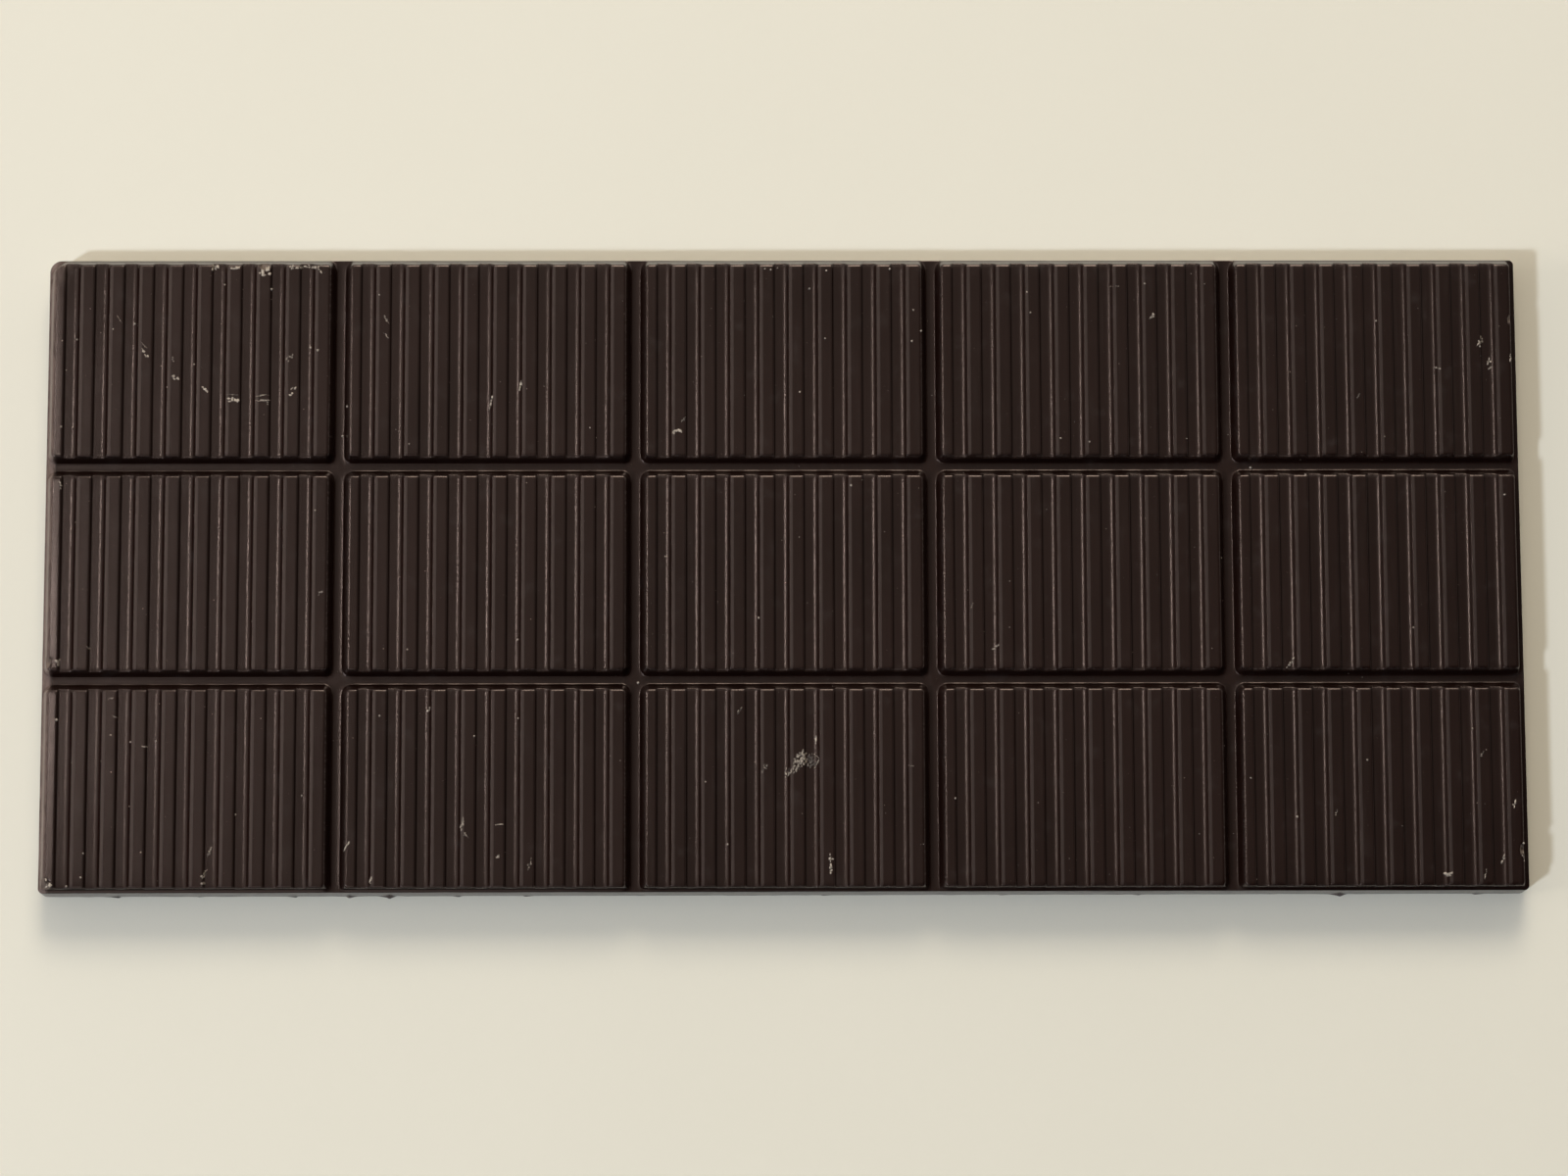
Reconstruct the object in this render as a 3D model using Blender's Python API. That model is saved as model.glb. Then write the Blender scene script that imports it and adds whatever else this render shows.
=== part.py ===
"""A moulded dark chocolate bar, lying flat: fifteen ribbed blocks on one thin slab.

Units are metres, +Z is up. The origin is under the middle of the bar, on the surface that the
bar rests on. +X runs along the length of the bar and +Y across it. The break grooves divide the
top into columns along X and rows along Y, and the ribs on each block run across the bar.
"""

import math

import bmesh
import bpy

MM = 0.001

# Heights above the surface that the bar rests on
BAR_HEIGHT = 6.0 * MM
GROOVE_DEPTH = 1.7 * MM
LIP_HEIGHT = 0.5 * MM

# The blocks, measured on their top plane
COLUMNS = 5
ROWS = 3
COLUMN_PITCH = 35.0 * MM
ROW_PITCH = 25.33 * MM
GROOVE_MOUTH = 2.3 * MM
BLOCK_CORNER_RADIUS = 0.45 * MM
BAR_CORNER_RADIUS = 0.55 * MM
WORN_CORNER_RADIUS = 1.4 * MM

# How far each slanting face runs outwards on its way down
BLOCK_DRAFT = 0.65 * MM
EDGE_ROUNDING = 0.22 * MM
SHELF = 0.10 * MM
SLAB_DRAFT = 0.25 * MM
LIP_REACH = 0.30 * MM

# The rib channels: each is a shallow trough with softened shoulders, cut across the whole bar
CHANNELS_PER_BLOCK = 9
CHANNEL_PITCH = 3.47 * MM
CHANNEL_DEPTH = 0.42 * MM
CHANNEL_FLOOR = 0.70 * MM
CHANNEL_SHOULDER = 2.00 * MM
CHANNEL_SHOULDER_DEPTH = 0.12 * MM
CHANNEL_MOUTH = 2.72 * MM
FIRST_CHANNEL = 2.15 * MM

# Places where the moulded edge has broken away: (x, y, radius of the bite, height of its middle)
EDGE_CHIPS = (
    (-61.4 * MM, 36.95 * MM, 0.75 * MM, 6.10 * MM),
    (-67.3 * MM, 36.95 * MM, 0.55 * MM, 6.10 * MM),
    (86.5 * MM, -32.8 * MM, 0.70 * MM, 5.90 * MM),
    (86.6 * MM, 30.2 * MM, 0.60 * MM, 6.05 * MM),
    (-86.5 * MM, -10.6 * MM, 0.60 * MM, 6.05 * MM),
    (-86.4 * MM, -36.8 * MM, 0.80 * MM, 5.70 * MM),
)

# Construction
SINK = 1.0 * MM
CLEARANCE = 0.5 * MM
CORNER_STEPS = 3
GROOVE_FLOOR_HEIGHT = BAR_HEIGHT - GROOVE_DEPTH
SLAB_LENGTH = COLUMNS * COLUMN_PITCH - GROOVE_MOUTH + 2 * (BLOCK_DRAFT + SHELF)
SLAB_WIDTH = ROWS * ROW_PITCH - GROOVE_MOUTH + 2 * (BLOCK_DRAFT + SHELF)


def clear_scene():
    for old in list(bpy.data.objects):
        bpy.data.objects.remove(old, do_unlink=True)


def chocolate_material():
    """Dark brown, with the soft sheen that a polished mould leaves."""
    material = bpy.data.materials.new("dark_chocolate")
    material.use_nodes = True
    shader = material.node_tree.nodes["Principled BSDF"]
    shader.inputs["Base Color"].default_value = (0.040, 0.022, 0.017, 1.0)
    shader.inputs["Roughness"].default_value = 0.42
    shader.inputs["Metallic"].default_value = 0.0
    return material


def link(name, bm, collection):
    mesh = bpy.data.meshes.new(name)
    bmesh.ops.recalc_face_normals(bm, faces=bm.faces)
    bm.to_mesh(mesh)
    bm.free()
    obj = bpy.data.objects.new(name, mesh)
    collection.objects.link(obj)
    return obj


def rounded_outline(left, right, front, back, radii):
    """Points of a rounded rectangle, counter-clockwise, from its front left corner.

    radii holds one radius for each corner: front left, front right, back right, back left.
    """
    corners = ((left, front, 1, 1), (right, front, -1, 1), (right, back, -1, -1), (left, back, 1, -1))
    points = []
    for index, (x, y, inward_x, inward_y) in enumerate(corners):
        radius = radii[index]
        start = math.pi + index * math.pi / 2
        for step in range(CORNER_STEPS + 1):
            angle = start + step * math.pi / 2 / CORNER_STEPS
            centre_x = x + inward_x * radius
            centre_y = y + inward_y * radius
            points.append((centre_x + radius * math.cos(angle), centre_y + radius * math.sin(angle)))
    return points


def loft(name, rings, collection):
    """A closed solid through level rings, each a list of points and a height."""
    bm = bmesh.new()
    loops = []
    for points, height in rings:
        loops.append([bm.verts.new((x, y, height)) for x, y in points])
    for lower, upper in zip(loops, loops[1:]):
        for index in range(len(lower)):
            after = (index + 1) % len(lower)
            bm.faces.new((lower[index], lower[after], upper[after], upper[index]))
    bm.faces.new(reversed(loops[0]))
    bm.faces.new(loops[-1])
    return link(name, bm, collection)


def slab_outline(grow):
    """The slab's outline, grown outwards. Its back left corner is worn rounder than the others."""
    half_length = SLAB_LENGTH / 2 + grow
    half_width = SLAB_WIDTH / 2 + grow
    radii = [BAR_CORNER_RADIUS] * 3 + [WORN_CORNER_RADIUS]
    return rounded_outline(-half_length, half_length, -half_width, half_width, radii)


def add_slab(collection):
    """The slab up to the groove floors, with the thin lip round its base."""
    rings = (
        (slab_outline(SLAB_DRAFT + LIP_REACH), 0.0),
        (slab_outline(SLAB_DRAFT + LIP_REACH), LIP_HEIGHT / 2),
        (slab_outline(SLAB_DRAFT), LIP_HEIGHT),
        (slab_outline(0.0), GROOVE_FLOOR_HEIGHT),
    )
    return loft("slab", rings, collection)


def cell_span(index, count, pitch):
    """Where one block starts and ends on the top plane, along one axis."""
    middle = (index - (count - 1) / 2) * pitch
    half = (pitch - GROOVE_MOUTH) / 2
    return middle - half, middle + half


def block_radii(column, row):
    """Corner radii of one block: only the bar's own worn corner is larger than the rest."""
    worn = column == 0 and row == ROWS - 1
    last = WORN_CORNER_RADIUS if worn else BLOCK_CORNER_RADIUS
    return [BLOCK_CORNER_RADIUS] * 3 + [last]


def add_block(column, row, collection):
    """One block: drafted walls that sink into the slab, and a softened top edge."""
    left, right = cell_span(column, COLUMNS, COLUMN_PITCH)
    front, back = cell_span(row, ROWS, ROW_PITCH)
    radii = block_radii(column, row)

    def outline(grow):
        return rounded_outline(left - grow, right + grow, front - grow, back + grow, radii)

    slope = BLOCK_DRAFT / GROOVE_DEPTH
    rings = (
        (outline(BLOCK_DRAFT), GROOVE_FLOOR_HEIGHT - SINK),
        (outline(BLOCK_DRAFT), GROOVE_FLOOR_HEIGHT),
        (outline(slope * EDGE_ROUNDING), BAR_HEIGHT - EDGE_ROUNDING),
        (outline(-EDGE_ROUNDING), BAR_HEIGHT),
    )
    return loft(f"block_{column}_{row}", rings, collection)


def channel_profile():
    """The cross-section of one channel's cutter, in X and Z, from its left mouth round to its right."""
    above = BAR_HEIGHT + CLEARANCE
    rise = CHANNEL_SHOULDER_DEPTH / 4
    right = (
        (CHANNEL_FLOOR / 2, BAR_HEIGHT - CHANNEL_DEPTH),
        (CHANNEL_SHOULDER / 2, BAR_HEIGHT - CHANNEL_SHOULDER_DEPTH),
        (CHANNEL_MOUTH / 2, BAR_HEIGHT + rise),
        (CHANNEL_MOUTH / 2, above),
    )
    left = tuple((-x, z) for x, z in reversed(right))
    return left + right


def add_channel_cutters(collection):
    """One long prism for each channel, running over all the rows, in one helper object."""
    bm = bmesh.new()
    reach = SLAB_WIDTH / 2 + SINK
    profile = channel_profile()
    for column in range(COLUMNS):
        left = cell_span(column, COLUMNS, COLUMN_PITCH)[0]
        for channel in range(CHANNELS_PER_BLOCK):
            x = left + FIRST_CHANNEL + channel * CHANNEL_PITCH
            front = bm.faces.new([bm.verts.new((x + dx, -reach, z)) for dx, z in profile])
            swept = bmesh.ops.extrude_face_region(bm, geom=[front], use_keep_orig=True)
            moved = [item for item in swept["geom"] if isinstance(item, bmesh.types.BMVert)]
            bmesh.ops.translate(bm, verts=moved, vec=(0.0, 2 * reach, 0.0))
    return hide(link("channel_cutters", bm, collection))


def add_chip_cutters(collection):
    """A small faceted ball at each place where the edge has chipped."""
    bm = bmesh.new()
    for x, y, radius, height in EDGE_CHIPS:
        ball = bmesh.ops.create_icosphere(bm, subdivisions=1, radius=radius)
        bmesh.ops.translate(bm, verts=ball["verts"], vec=(x, y, height))
    return hide(link("chip_cutters", bm, collection))


def hide(helper):
    helper.hide_render = True
    helper.display_type = "WIRE"
    return helper


def apply_boolean(target, operation, **operand):
    """Adds one exact Boolean to the target and applies it."""
    boolean = target.modifiers.new(operation.lower(), "BOOLEAN")
    boolean.operation = operation
    boolean.solver = "EXACT"
    for setting, value in operand.items():
        setattr(boolean, setting, value)
    graph = bpy.context.evaluated_depsgraph_get()
    result = bpy.data.meshes.new_from_object(target.evaluated_get(graph))
    target.modifiers.clear()
    target.data = result


def fuse_blocks(slab, scene_collection):
    """Joins the slab and all the blocks into one body."""
    blocks = bpy.data.collections.new("blocks")
    scene_collection.children.link(blocks)
    for row in range(ROWS):
        for column in range(COLUMNS):
            add_block(column, row, blocks)
    apply_boolean(slab, "UNION", operand_type="COLLECTION", collection=blocks)
    for block in list(blocks.objects):
        bpy.data.objects.remove(block, do_unlink=True)
    bpy.data.collections.remove(blocks)


def build():
    clear_scene()
    scene_collection = bpy.context.scene.collection
    bar = add_slab(scene_collection)
    fuse_blocks(bar, scene_collection)
    for cutter in (add_channel_cutters(scene_collection), add_chip_cutters(scene_collection)):
        apply_boolean(bar, "DIFFERENCE", operand_type="OBJECT", object=cutter)
        bpy.data.objects.remove(cutter, do_unlink=True)
    bar.name = "bar"
    bar.data.materials.clear()
    bar.data.materials.append(chocolate_material())


build()
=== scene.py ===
"""The visible surface of a moulded dark chocolate bar, dressed over the frame's one node.

Units are metres, +Z is up, and the origin is under the middle of the bar. The ribs run along Y.
"""

import math

import bpy
import numpy as np
from mathutils import Matrix, Vector
from mathutils.geometry import delaunay_2d_cdt


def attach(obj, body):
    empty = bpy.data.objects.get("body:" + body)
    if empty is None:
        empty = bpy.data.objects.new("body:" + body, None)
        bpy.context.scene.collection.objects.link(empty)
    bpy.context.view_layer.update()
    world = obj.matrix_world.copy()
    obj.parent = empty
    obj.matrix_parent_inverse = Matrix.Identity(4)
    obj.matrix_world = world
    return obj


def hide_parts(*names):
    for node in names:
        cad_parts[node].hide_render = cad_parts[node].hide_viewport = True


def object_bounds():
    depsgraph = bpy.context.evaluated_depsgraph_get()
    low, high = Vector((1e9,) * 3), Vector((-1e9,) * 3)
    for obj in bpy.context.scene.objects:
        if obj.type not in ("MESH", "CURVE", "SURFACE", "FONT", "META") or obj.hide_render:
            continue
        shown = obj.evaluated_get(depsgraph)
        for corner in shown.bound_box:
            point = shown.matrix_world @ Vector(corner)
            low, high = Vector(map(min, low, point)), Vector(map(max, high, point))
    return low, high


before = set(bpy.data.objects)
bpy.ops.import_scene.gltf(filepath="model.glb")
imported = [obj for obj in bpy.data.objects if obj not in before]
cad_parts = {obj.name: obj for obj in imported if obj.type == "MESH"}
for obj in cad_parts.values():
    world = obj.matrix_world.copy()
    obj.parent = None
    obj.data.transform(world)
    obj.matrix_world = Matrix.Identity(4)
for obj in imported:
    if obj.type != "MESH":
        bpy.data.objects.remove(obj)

CAD_LOW, CAD_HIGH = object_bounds()
MM = 0.001

# The moulding, as the frame holds it
COLUMNS = 5
ROWS = 3
COLUMN_PITCH = 35.0 * MM
ROW_PITCH = 25.33 * MM
GROOVE_MOUTH = 2.3 * MM
GROOVE_DEPTH = 1.7 * MM
BLOCK_DRAFT = 0.65 * MM
SHELF = 0.10 * MM
SLAB_DRAFT = 0.25 * MM
LIP_REACH = 0.30 * MM
BLOCK_CORNER_RADIUS = 0.45 * MM
BAR_CORNER_RADIUS = 0.55 * MM
WORN_CORNER_RADIUS = 1.4 * MM

# The top stays this far under the frame's top, which leaves room for the flakes that lie on it
FLAKE_ROOM = 0.07 * MM
TOP = CAD_HIGH.z - FLAKE_ROOM
GROOVE_FLOOR = CAD_HIGH.z - GROOVE_DEPTH
HALF_BLOCK_LENGTH = (COLUMN_PITCH - GROOVE_MOUTH) / 2
HALF_BLOCK_WIDTH = (ROW_PITCH - GROOVE_MOUTH) / 2
OUTER_REACH = BLOCK_DRAFT + SHELF
HALF_SLAB_LENGTH = COLUMNS * COLUMN_PITCH / 2 - GROOVE_MOUTH / 2 + OUTER_REACH
HALF_SLAB_WIDTH = ROWS * ROW_PITCH / 2 - GROOVE_MOUTH / 2 + OUTER_REACH

# The ribs: nine channels to a block. A channel's section goes from its left crest to its right one,
# as (offset from its middle in mm, slope in degrees). Its left wall is short and steep. Its right
# wall has a hollow foot and a rounder crest; over a narrow width that crest is duller and carries a
# painted highlight, a paler line of colour.
CHANNELS_PER_BLOCK = 9
CHANNEL_PITCH = 3.47 * MM
FIRST_CHANNEL = 2.15 * MM
CHANNEL_DEPTH = 0.44 * MM
CHANNEL_SECTION = (
    (-1.02, 0),
    (-0.94, -12),
    (-0.88, -35),
    (-0.85, -70),
    (-0.745, -70),
    (-0.715, -25),
    (-0.69, 0),
    (0.17, 0),
    (0.27, 6),
    (0.60, 22),
    (0.66, 36),
    (0.71, 50),
    (0.93, 50),
    (0.97, 20),
    (1.00, 4),
    (1.30, 2),
    (1.38, 0),
)
SECTION_STEPS = 2000
PAINTED_SHEEN_CREST = 1.17 * MM
PAINTED_SHEEN_WIDTH = 0.17 * MM
PAINTED_SHEEN_FADE = 4

# A block's top bends down over a short width to a crisp edge, and less so where a channel runs out
# over it. The walls below slant, a little more where they face the back, but are steep along the
# bar's right end and its front. The grooves have a hollow floor.
EDGE_BEND = 0.36 * MM
EDGE_RADIUS = 0.78 * MM
EDGE_DROP = EDGE_RADIUS - math.sqrt(EDGE_RADIUS**2 - EDGE_BEND**2)
EDGE_SOFTNESS = 0.12 * MM
STEEP_DRAFT = 0.14 * MM
BACK_DRAFT = 0.78 * MM
FLOOR_BEND_LOSS = 0.75
FLOOR_RADIUS = 4.0 * MM
FILLET_SOFTNESS = 0.22 * MM

# Where the moulding is paler: in from its left edge and on its left walls, wear with painted light
# from the lit left side; round its worn corner, wear; and a little on all its walls, dust
WORN_AND_LIT_WIDTH = 0.42 * MM
WORN_CORNER_REACH = 3.2 * MM
WALL_WEAR = 0.10
LEFT_WALL_WEAR_AND_LIGHT = 0.32

# What each point of the bar's mesh is marked with, and how wide the dust on a block's edge is
# The crest mark is a painted highlight, a paler line where the light catches each crest.
# The worn mark carries painted light along the left edge and left walls as well as wear.
MARKS = ("edge", "lip", "broken", "worn", "rubbed")
EDGE_DUST_WIDTH = 0.13 * MM

# The front wall is steeper: distances past the blocks' top edge, where they are drawn in to, and
# how much of its usual reach the wall below them has
FRONT_FROM = (-0.41 * MM, 0.0, 0.14 * MM, 0.75 * MM)
FRONT_TO = (-0.41 * MM, 0.14 * MM, 0.24 * MM, 0.60 * MM)
FRONT_PULL = FRONT_FROM[-1] - FRONT_TO[-1]
FRONT_REACH_SHARE = 0.9

# How far the top bends down towards the bar's outline, most of all at the left end near its worn
# corner, and how wavy the top is
CROWN_WIDTH = 1.5 * MM
END_CROWN = 0.07 * MM
WORN_END_CROWN = 0.09 * MM
SIDE_CROWN = 0.03 * MM
WORN_START = 10.0 * MM
WORN_FULL = 26.0 * MM
WAVE_LENGTH = 9.0 * MM
WAVE_HEIGHT = 0.018 * MM
LATTICE_SIDE = 128

# Places where the moulded edge has broken away: (x, y, radius of the bite, height of its middle)
EDGE_CHIPS = (
    (-61.4 * MM, 36.95 * MM, 0.75 * MM, 6.10 * MM),
    (-67.3 * MM, 36.95 * MM, 0.55 * MM, 6.10 * MM),
    (86.5 * MM, -32.8 * MM, 0.70 * MM, 5.90 * MM),
    (86.6 * MM, 30.2 * MM, 0.60 * MM, 6.05 * MM),
    (-86.5 * MM, -10.6 * MM, 0.60 * MM, 6.05 * MM),
    (-86.4 * MM, -36.8 * MM, 0.80 * MM, 5.70 * MM),
)
CHIP_RAGGEDNESS = 0.25
CHIP_WAVE_LENGTH = 0.35 * MM

# Where the surface's grid has its lines: distances in mm in from a block's top edge, out in a groove
# and from the middle of a channel, distances in radii from the middle of a chip, the spacing along
# the ribs, and how close two lines may be. A wall's distances are kept off zero by the last value.
EDGE_LINES = (
    0.41, 0.36, 0.28, 0.20, 0.12, 0.05, 0.0, -0.04, -0.12, -0.17, -0.22, -0.32, -0.50, -0.58,
    -0.66, -0.75,
)
GROOVE_LINES = (-0.92, -1.15)
CHANNEL_LINES = (
    -1.07, -1.02, -0.94, -0.88, -0.85, -0.745, -0.715, -0.68, -0.64, 0.12, 0.17, 0.27, 0.38,
    0.49, 0.60, 0.66, 0.71, 0.93, 0.97, 1.005, 1.09, 1.17, 1.25, 1.33, 1.38, 1.43,
)
CHIP_LINES = (-1.3, -0.9, -0.45, 0.0, 0.45, 0.9, 1.3)
LINE_SPACING = 2.8 * MM
CLOSEST_LINES = 0.03 * MM
LEAST_OUTSIDE = CLOSEST_LINES / 10

# The skirt below the shelf's edge: (reach, height) down the wall, over the lip and under its rim
SKIRT = (
    (0.020 * MM, 4.27 * MM),
    (0.035 * MM, 4.18 * MM),
    (0.10 * MM, 3.20 * MM),
    (0.17 * MM, 2.10 * MM),
    (0.22 * MM, 1.20 * MM),
    (0.25 * MM, 0.72 * MM),
    (0.29 * MM, 0.55 * MM),
    (0.37 * MM, 0.47 * MM),
    (0.48 * MM, 0.44 * MM),
    (0.54 * MM, 0.36 * MM),
    (0.55 * MM, 0.22 * MM),
    (0.52 * MM, 0.08 * MM),
    (0.46 * MM, 0.0),
)
FIRST_LIP_RING = 6
SKIRT_WAVE_LENGTH = 2.5 * MM
SKIRT_WAVE_HEIGHT = 0.012 * MM

# A wall faces a side where its outward direction points there by more than this. The lip is pale
# with dust all round, but less so at the back.
FACING = 0.5
BACK_LIP_SHARE = 0.25

# How uneven the lip is, as shares of its reach, and the sparse spots of flash at the front
LIP_FINE_LENGTH = 1.3 * MM
LIP_BROAD_LENGTH = 5.0 * MM
LIP_USUAL = 0.72
LIP_UNEVENNESS = 0.75
LIP_LEAST = 0.12
LIP_STEADY_HEIGHT = 0.75
FLASH_START = 0.72
FLASH_LENGTH = 1.6 * MM

# The underside's inner points
UNDERSIDE_INSET = 1.2 * MM
UNDERSIDE_SPACING = 2.6 * MM
UNDERSIDE_JITTER = 0.2 * UNDERSIDE_SPACING
UNDERSIDE_HOLLOW = 0.06 * MM
HOLLOW_STEADY = 0.6
HOLLOW_LENGTH = 14.0 * MM
TOUCHING = 1e-9

# Seeds of what is uneven. The chips and the skirt's rings count on from theirs.
FLAKE_SEED = 5
WAVE_SEED = 7
CRUMB_SEED = 9
LIP_FINE_SEED = 11
LIP_BROAD_SEED = 12
FLASH_SEED = 14
SKIRT_SEED = 20
JITTER_X_SEED = 31
JITTER_Y_SEED = 32
HOLLOW_SEED = 33
CHIP_SEED = 40

# Flakes and rub marks, light where the chocolate is scraped, in mm and degrees:
# (x, y, length, width, turn, lightness)
FLAKES = (
    (-75.5, 26.2, 1.2, 0.28, -48, 0.8),
    (-75.6, 27.1, 0.9, 0.12, -52, 0.3),
    (-71.9, 23.2, 0.9, 0.35, -35, 0.8),
    (-72.1, 25.5, 0.5, 0.22, -60, 0.3),
    (-68.3, 21.8, 0.8, 0.40, -50, 0.9),
    (-65.0, 20.6, 1.3, 0.35, 0, 0.9),
    (-65.1, 21.2, 1.0, 0.10, 0, 0.3),
    (-61.5, 20.5, 1.4, 0.16, 3, 0.7),
    (-61.6, 21.1, 1.4, 0.12, 3, 0.4),
    (-60.9, 20.3, 0.5, 0.20, 75, 0.6),
    (-58.4, 25.7, 0.9, 0.40, 55, 0.6),
    (-57.9, 22.0, 0.45, 0.22, 40, 0.8),
    (-58.2, 21.3, 0.40, 0.28, 0, 0.9),
    (-61.4, 36.05, 1.2, 0.7, 5, 0.9),
    (-65.0, 36.4, 1.0, 0.28, 2, 0.7),
    (-67.4, 36.5, 0.7, 0.45, 0, 0.8),
    (-57.7, 36.6, 1.6, 0.30, 6, 0.8),
    (-55.8, 36.7, 1.8, 0.26, -4, 0.6),
    (-54.9, 36.2, 0.6, 0.22, -60, 0.7),
    (-78.5, 30.2, 0.9, 0.10, -60, 0.3),
    (-47.0, 30.2, 1.0, 0.14, -55, 0.5),
    (-47.0, 28.3, 0.8, 0.12, -50, 0.4),
    (-34.7, 20.2, 1.7, 0.22, 80, 0.6),
    (-31.2, 22.3, 1.2, 0.25, 70, 0.8),
    (-12.6, 16.8, 1.0, 0.45, 40, 0.7),
    (-11.8, 18.2, 0.6, 0.25, 60, 0.5),
    (43.7, 30.6, 0.7, 0.35, 30, 0.5),
    (39.2, 34.2, 1.3, 0.08, 0, 0.4),
    (82.7, 27.6, 1.2, 0.30, 60, 0.7),
    (83.8, 25.1, 0.7, 0.35, 80, 0.8),
    (83.8, 24.4, 0.5, 0.20, 20, 0.5),
    (77.4, 24.3, 0.6, 0.18, 0, 0.4),
    (68.1, 20.9, 0.6, 0.18, 60, 0.4),
    (86.2, 25.5, 0.8, 0.18, 85, 0.7),
    (-85.2, 10.5, 0.9, 0.22, -70, 0.6),
    (-54.5, -2.4, 0.6, 0.22, 50, 0.6),
    (-81.6, -8.8, 0.5, 0.16, -40, 0.4),
    (-85.0, -10.5, 0.7, 0.35, 80, 0.7),
    (24.8, -8.9, 0.8, 0.22, 30, 0.5),
    (22.0, -4.0, 0.6, 0.20, 70, 0.5),
    (59.5, -10.8, 1.3, 0.20, 50, 0.7),
    (-78.8, -14.8, 0.7, 0.12, 20, 0.4),
    (-78.3, -16.9, 0.5, 0.18, -30, 0.5),
    (-74.7, -20.5, 0.5, 0.16, -30, 0.4),
    (-67.1, -32.7, 1.0, 0.25, 80, 0.5),
    (-67.6, -35.4, 1.1, 0.22, 65, 0.7),
    (-67.7, -36.6, 0.6, 0.30, 20, 0.6),
    (-51.1, -32.1, 1.0, 0.22, 50, 0.7),
    (-85.8, -36.4, 0.8, 0.5, -45, 0.9),
    (-41.7, -16.2, 0.7, 0.25, 60, 0.6),
    (-48.3, -36.1, 0.7, 0.30, 70, 0.7),
    (-37.7, -29.6, 1.2, 0.28, 80, 0.5),
    (-37.2, -30.9, 0.7, 0.20, -50, 0.5),
    (-33.3, -29.7, 0.9, 0.16, 0, 0.6),
    (-33.4, -33.4, 0.5, 0.22, 60, 0.6),
    (-29.8, -34.3, 1.2, 0.20, 75, 0.6),
    (-5.3, -16.3, 0.8, 0.18, 55, 0.5),
    (1.15, -22.5, 1.5, 0.24, 80, 0.45),
    (1.45, -22.4, 1.8, 0.26, 84, 0.60),
    (1.80, -22.2, 1.9, 0.26, 84, 0.45),
    (2.10, -22.0, 1.8, 0.24, 86, 0.70),
    (2.38, -21.9, 1.2, 0.20, 88, 0.55),
    (0.85, -23.4, 0.9, 0.24, 65, 0.50),
    (1.30, -23.3, 0.9, 0.20, 60, 0.55),
    (0.10, -23.6, 1.0, 0.18, 85, 0.60),
    (0.35, -23.7, 0.8, 0.12, 85, 0.40),
    (2.80, -22.2, 1.3, 0.30, 88, 0.10),
    (3.15, -22.3, 1.5, 0.30, 88, 0.14),
    (3.50, -22.3, 1.1, 0.26, 88, 0.10),
    (3.70, -21.7, 0.8, 0.08, -45, 0.55),
    (3.70, -22.7, 1.2, 0.08, 62, 0.45),
    (3.6, -19.7, 0.9, 0.22, 88, 0.7),
    (-2.4, -23.1, 1.0, 0.30, 60, 0.2),
    (5.3, -34.4, 1.9, 0.30, 85, 0.8),
    (14.7, -22.8, 0.5, 0.20, 0, 0.5),
    (64.4, -28.4, 0.7, 0.18, 70, 0.5),
    (81.7, -21.7, 0.6, 0.20, 60, 0.5),
    (85.3, -27.5, 0.7, 0.22, 85, 0.8),
    (83.9, -33.9, 1.0, 0.22, 80, 0.8),
    (77.4, -35.7, 0.8, 0.35, 10, 0.7),
    (81.7, -35.7, 1.2, 0.12, 75, 0.5),
    (86.3, -33.5, 1.0, 0.30, 80, 0.6),
)

# How thick the flakes are, how deep their rims sink in, and how much longer and wider than above
# they are laid out, because their ragged ends hardly show
FLAKE_THICKNESS = 0.045 * MM
FLAKE_LEAST_LIFT = 0.4
FLAKE_SINK = 0.03 * MM
FLAKE_LENGTHENING = 1.15
FLAKE_WIDENING = 1.4

# A flake is a row of ragged fragments, each of a few rings of points: how the fragments stray along
# and across it, their half length and half width as shares of the room that they have, and how
# their tone differs from the flake's
FRAGMENTS_PER_MM = 4.5
FRAGMENT_POINTS = 9
FRAGMENT_RINGS = (1.0, 0.75, 0.35)
FRAGMENT_RAGGEDNESS = 0.45
STRAY_ALONG = 0.08
STRAY_ACROSS = 0.45
FRAGMENT_LENGTHS = (0.45, 1.1)
FRAGMENT_WIDTHS = (0.4, 1.1)
FRAGMENT_TONES = (-0.35, 0.2)

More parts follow.
